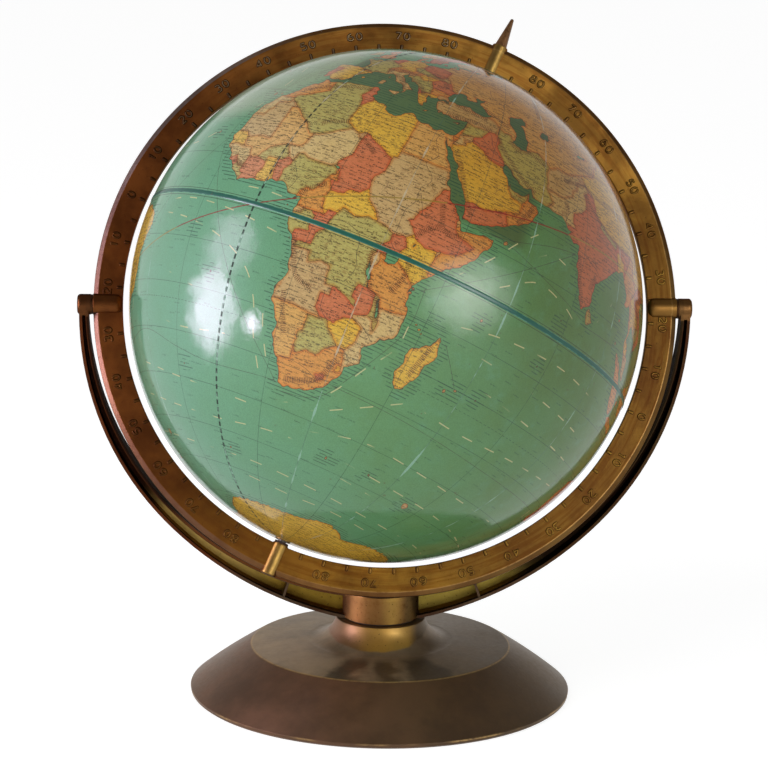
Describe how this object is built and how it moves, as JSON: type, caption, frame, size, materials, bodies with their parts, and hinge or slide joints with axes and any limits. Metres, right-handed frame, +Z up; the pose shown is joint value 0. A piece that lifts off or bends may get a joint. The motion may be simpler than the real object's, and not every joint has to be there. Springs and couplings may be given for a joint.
{
  "type": "desktop globe on stand",
  "caption": "Table globe whose ball spins in a full meridian ring; the ring tilts in an open half-ring cradle that swivels on a round sloping metal base.",
  "frame": {"origin": "centre of the base's underside, on the table", "axes": "+Z up; +X along the ring's tilting axis, to the right as pictured; -Y towards the open side of the cradle's channel"},
  "size_m": [0.3654, 0.3046, 0.4026],
  "materials": {
    "bronzed_base": "bronze lacquer over spun steel, satin, worn to brass colour at the crease and rim",
    "bronzed_cradle": "aged bronze lacquer over cast metal, darker in the channel",
    "bronzed_ring": "aged bronze lacquer over cast metal, satin, brighter along the bevels",
    "bronzed_finial": "reddish bronze lacquer, satin",
    "pivot_brass": "dulled brass",
    "plain_steel": "plain steel, slightly tarnished",
    "ball_board": "pressed grey-brown board",
    "map_paper": "varnished printed paper, aged, semi-gloss",
    "tape_paper": "varnished printed paper tape, semi-gloss",
    "fibre": "dark vulcanised fibre",
    "hardboard": "brown hardboard"
  },
  "bodies": {
    "base": {"base_dish": "bronzed_base", "base_bottom_board": "hardboard", "seam_washer": "fibre"},
    "cradle": {"cradle_frame": "bronzed_cradle", "swivel_bolt": "plain_steel", "swivel_spring_washer": "plain_steel", "swivel_flat_washer": "plain_steel", "pivot_pin_left": "plain_steel", "pivot_pin_right": "plain_steel", "pivot_washer_left": "pivot_brass", "pivot_washer_right": "pivot_brass"},
    "meridian": {"meridian_ring": "bronzed_ring", "north_pole_finial": "bronzed_finial", "south_pole_pin": "plain_steel", "north_pole_washer": "fibre", "south_pole_washer": "fibre"},
    "globe": {"north_hemisphere": "ball_board", "south_hemisphere": "ball_board", "joining_hoop": "ball_board", "north_pole_ferrule": "pivot_brass", "south_pole_ferrule": "pivot_brass", "equator_tape": "tape_paper", "map_gores_north": "map_paper", "map_gores_south": "map_paper"}
  },
  "joints": [
    {"name": "cradle_swivel", "type": "hinge", "parent": "base", "child": "cradle", "pos_m": [0, 0, 0.046], "axis": [0, 0, 1], "continuous": true},
    {"name": "ring_tilt", "type": "hinge", "parent": "cradle", "child": "meridian", "pos_m": [0, 0, 0.237], "axis": [1, 0, 0], "range_deg": [-153, 195]},
    {"name": "globe_spin", "type": "hinge", "parent": "meridian", "child": "globe", "pos_m": [0, 0, 0.237], "axis": [0.3987, 0.3286, 0.8561], "continuous": true}
  ]
}
